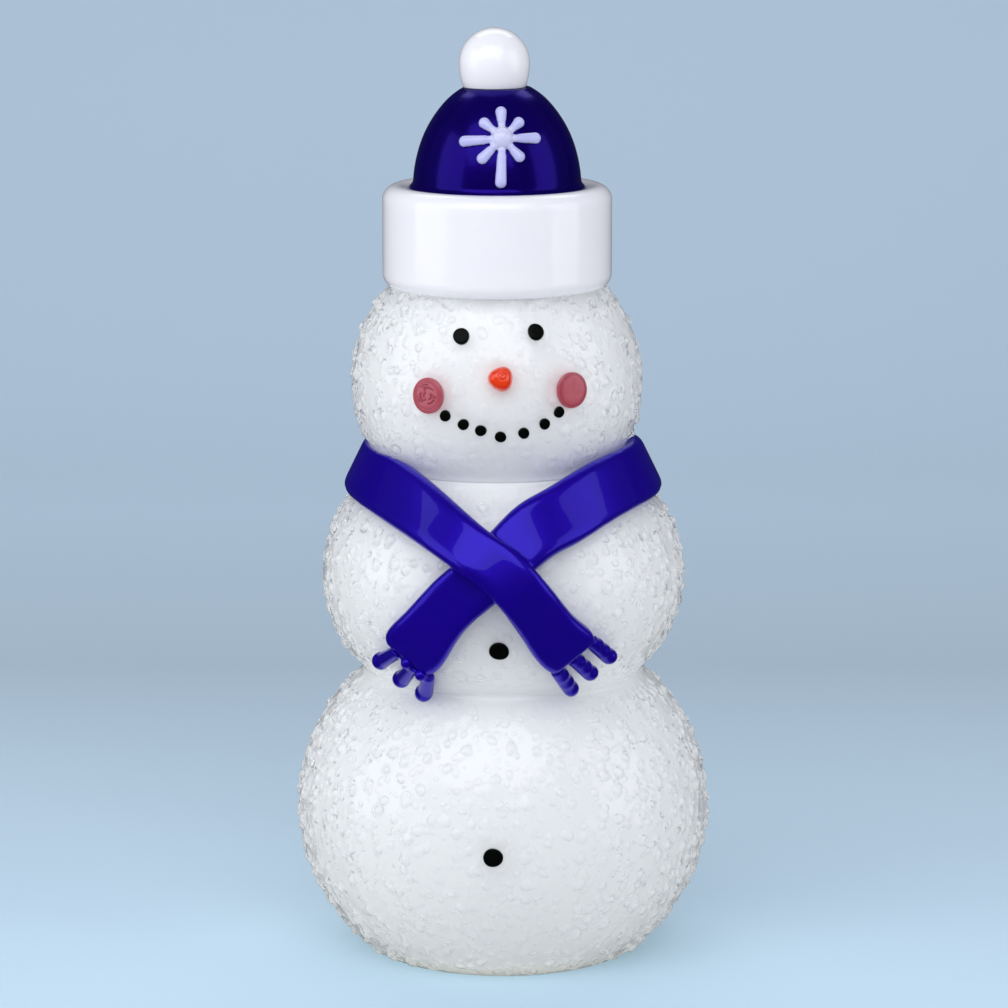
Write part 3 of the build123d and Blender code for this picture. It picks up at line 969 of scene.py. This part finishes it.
melted("scarf_melted", copy_of("scarf"), voxel_mm=0.6, rounds=34, nodes=["scarf"])
strands = sorted(node for node in frame["nodes"] if node.startswith("fringe"))
work = copy_of(*strands)
roots = {}
for node in strands:
    roots[node], tip = sorted(ends_of(node), key=lambda end: -end[2])
    if "right" in node:  # pinched with tweezers, so the right side's strands are faintly lumpy
        for share in RIGHT_KNOBS:
            knob(work, roots[node] + (tip - roots[node]) * share, radius=2.45 * MM)
    else:
        knob(work, roots[node] + (tip - roots[node]) * LEFT_KNOB, radius=2.75 * MM)
for first, second in (("fringe_left_1", "fringe_left_2"), ("fringe_left_2", "fringe_left_3")):
    gap = (roots[first] + roots[second]) / 2
    knob(work, gap + np.array([0, 0, -GAP_KNOB_LOWER]), radius=1.8 * MM)
melted("fringe_melted", work, voxel_mm=0.45, rounds=9, nodes=strands)

# %% Snowflake
TOWARDS_HUB = 0.35  # where a second blob bridges each ray to the hub, as a share of the way

rays = sorted(node for node in frame["nodes"] if node.startswith("snowflake_ray"))
work = copy_of("snowflake_bead", *rays)
hub = np.array(centre_of("snowflake_bead"))
for node in rays:
    near = min(ends_of(node), key=lambda end: np.linalg.norm(end - hub))
    blob(work, near, radius=1.15 * MM)
    blob(work, near + (hub - near) * TOWARDS_HUB, radius=1.2 * MM)
knob(work, hub, radius=3.1 * MM)
melted("snowflake", work, voxel_mm=0.3, rounds=4, nodes=["snowflake_bead", *rays])

# %% [markdown]
# ## Lip of the cap
#
# The cap was lowered hot into the cuff, so its foot spread into a soft lip that fills the groove behind
# the cuff's rounded edge. The cap is turned again from its own outline, with that lip added.

# %% Cap with its lip
LIP_OUT = 1.3 * MM  # how far the lip stands out
LIP_TALL = 1.1 * MM  # how far above and under its middle it spreads
LIP_BELOW = 0.9 * MM  # its middle, under the cuff's top

axis, outer, _ = outline_at_back("hat_cap", 0.5 * MM)
lip_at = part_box("hat_cuff")[1][2] - LIP_BELOW
outer[:, 0] += LIP_OUT * np.exp(-(((outer[:, 1] - lip_at) / LIP_TALL) ** 2))
foot = (0.0, outer[0][1])
crown = (0.0, outer[-1][1])
outline = [foot, *fan(foot, outer[0], 2 * MM), *outer, *fan(outer[-1], crown, 2 * MM), crown]
cap_mesh = turned("hat_cap_lipped", axis, outline, around=240, closed=False)
cap = bpy.data.objects.new("hat_cap_lipped", cap_mesh)
scene.collection.objects.link(cap)
cap.data.polygons.foreach_set("use_smooth", [True] * len(cap.data.polygons))
cap.data.materials.append(thick_cobalt)
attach(cap, "root")
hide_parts("hat_cap")
print("cap faces", len(cap.data.polygons))

# %% [markdown]
# ## Slices of cane
#
# The eyes, the mouth and the buttons are slices cut from a black rod, dropped on the hot glass and
# melted almost flat. The cheeks are wider slices of rose cane: the left one was pressed with a small
# stamp and keeps broken rings of grooves, and the right one is plain. The nose is a gather of orange-red
# glass, pinched into three soft corners, with a ring left by the rod at its tip.

# %% Where a slice sits
work = copy_of("head_bubble", "middle_ball_bubble", "bottom_ball_bubble")
white_wall = BVHTree.FromBMesh(work)
work.free()


def seat(node):
    """The middle of a slice's face, the directions right, up and out of it, and its radius."""
    middle = Vector(centre_of(node))
    out = white_wall.find_nearest(middle)[1]
    right = Vector((0, 0, 1)).cross(out).normalized()
    up = out.cross(right)
    offsets = [corner.co - middle for corner in frame["nodes"][node].data.vertices]
    top = max(offset.dot(out) for offset in offsets)
    radius = max((offset - out * offset.dot(out)).length for offset in offsets)
    return middle + out * top, right, up, out, radius


def pressed(node, outline, relief, sunk_mm, rings=36, around=96):
    """A round piece on its seat: outline gives its radius by angle, relief its height and its painted groove
    shade by place.
    """
    face, right, up, out, radius = seat(node)
    angles = np.linspace(0, 2 * np.pi, around, endpoint=False)
    shares = np.sin(np.linspace(0, np.pi / 2, rings + 1)[1:])
    share, angle = np.meshgrid(shares, angles, indexing="ij")
    reach = share * radius * outline(angle)
    x, y = reach * np.cos(angle) / MM, reach * np.sin(angle) / MM
    height, groove = relief(share, angle, x, y)
    low = np.full((1, around), -sunk_mm)
    x, y, height = np.vstack([x, x[-1:]]), np.vstack([y, y[-1:]]), np.vstack([height, low])
    groove = np.vstack([groove, 0 * groove[-1:]])
    flat = np.stack([x, y, height], axis=2).reshape(-1, 3)
    flat = np.vstack([flat, (0, 0, height[0].mean()), (0, 0, -sunk_mm)])
    points = np.array(face) + MM * flat @ np.array([right, up, out])
    ring = np.arange(around)
    faces = []
    for row in range(rings):
        inner, outer = row * around + ring, (row + 1) * around + ring
        faces += np.stack([inner, outer, np.roll(outer, -1), np.roll(inner, -1)], axis=1).tolist()
    pole = (rings + 1) * around
    faces += [(pole, i, (i + 1) % around) for i in range(around)]
    faces += [(pole + 1, rings * around + (i + 1) % around, rings * around + i) for i in range(around)]
    mesh = bpy.data.meshes.new(node + "_pressed")
    mesh.from_pydata(points.tolist(), [], faces)
    mesh.polygons.foreach_set("use_smooth", [True] * len(mesh.polygons))
    # the painted shade of the relief's grooves, kept on the points for the material
    values = [*groove.reshape(-1), groove[0].mean(), 0.0]
    mesh.attributes.new("groove", "FLOAT", "POINT").data.foreach_set("value", values)
    mesh.materials.append(GLASS_OF[slot_of[node]])
    piece = bpy.data.objects.new(node + "_pressed", mesh)
    scene.collection.objects.link(piece)
    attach(piece, "root")
    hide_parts(node)


# %% Black slices
SLICE_SUNK_MM = 0.12  # how far a slice's face lies under the solid's
DISHED_MM = 0.05  # how much its rim stands up or falls off, differently for each


def rounded(share, drop_mm, power):
    """How far a face falls away towards its melted edge."""
    return -drop_mm * (1 - np.sqrt(np.clip(1 - share**power, 0, 1)))


def nearly_round(seed):
    """An outline that is a little out of round, differently for each seed."""
    return lambda angle: 1 + 0.03 * np.cos(2 * angle + seed) + 0.015 * np.cos(3 * angle + 2 * seed)


def upright(angle):
    """An outline that is a little taller than wide."""
    return 0.96 - 0.03 * np.cos(2 * angle)


for number, node in enumerate(sorted(n for n, slot in slot_of.items() if slot == "black_glass")):
    dome = DISHED_MM * math.sin(number)
    pressed(
        node,
        nearly_round(number),
        lambda share, angle, x, y: (rounded(share, 0.5, 8) - SLICE_SUNK_MM + dome * share, 0 * share),
        sunk_mm=1.3,
    )
print("slices", number + 1)

# %% Cheeks and nose


def stamped_rose(share, angle, x, y):
    """Broken rings of grooves inside two fine rim lines, with painted shade in both."""
    reach = np.hypot(x - 0.2, y + 0.1) / 1.15  # a ring every 1.15 mm, a little off the middle
    ring = np.round(reach)
    wave = np.cos(np.pi * (reach - ring)) ** 4 * (ring > 0)
    broken = np.clip(0.55 + 1.3 * np.sin((1 + ring) * angle + 2.1 * ring), 0, 1)
    spokes = np.clip(np.sin(3 * angle + 0.8 * ring + 0.5), 0, 1) ** 10 * (reach > 0.7)
    groove = np.clip((0.68 - share) / 0.06, 0, 1) * np.maximum(wave * broken, 0.8 * spokes)
    rim = np.exp(-(((share - 0.76) / 0.025) ** 2))
    rim = rim + 0.8 * np.exp(-(((share - 0.88) / 0.025) ** 2))
    return rounded(share, 0.6, 7) - 0.22 * groove - 0.12 * rim, 0.8 * groove + 0.5 * rim


def plain_rose(share, angle, x, y):
    """A face that dishes a little, with painted shade in the dip at its rim."""
    rim = np.exp(-(((share - 0.87) / 0.06) ** 2))
    return rounded(share, 0.6, 7) - 0.12 * rim, 0.5 * rim


def pinched(share, angle, x, y):
    """A dome with the rod's ring on its tip, above and to the right of the middle."""
    dome = -4.3 * (1 - np.clip(1 - share**2.6, 0, 1) ** 0.42)
    from_tip = np.hypot(x - 0.5, y - 0.7)
    ring = np.exp(-(((from_tip - 1.15) / 0.28) ** 2)) + 0.6 * np.exp(-((from_tip / 0.3) ** 2))
    return dome - 0.28 * ring, 0 * share


def three_cornered(angle):
    """An outline with three soft corners."""
    return 0.9 - 0.055 * np.cos(3 * angle + 0.2)


pressed("cheek_left", upright, stamped_rose, sunk_mm=1.3, rings=60, around=144)
pressed("cheek_right", upright, plain_rose, sunk_mm=1.3, rings=60, around=144)
pressed("nose", three_cornered, pinched, sunk_mm=5.5, rings=60, around=144)
print("cheeks and nose made")
